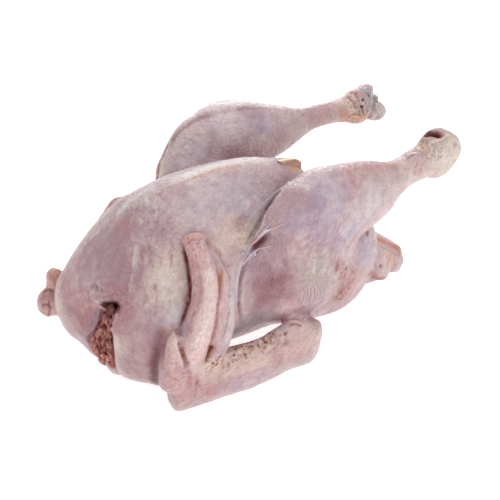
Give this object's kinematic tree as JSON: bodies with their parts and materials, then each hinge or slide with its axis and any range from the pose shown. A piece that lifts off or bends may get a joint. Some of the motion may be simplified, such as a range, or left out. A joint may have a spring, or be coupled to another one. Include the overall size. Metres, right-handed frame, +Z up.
{
  "type": "whole raw turkey",
  "caption": "Whole raw turkey, plucked and drawn, lying on its back with breast up, drumsticks out behind and wings folded flat against its sides.",
  "frame": {"origin": "centre of the bird's bounding box at the level of the table that it rests on", "axes": "+X from the neck end towards the tail, +Y towards the bird's left side, +Z up, away from its back and towards its breast"},
  "size_m": [0.3864, 0.215, 0.1929],
  "materials": {
    "skin": "moist soft sheen"
  },
  "bodies": {
    "root": {"turkey": "skin"}
  },
  "joints": []
}
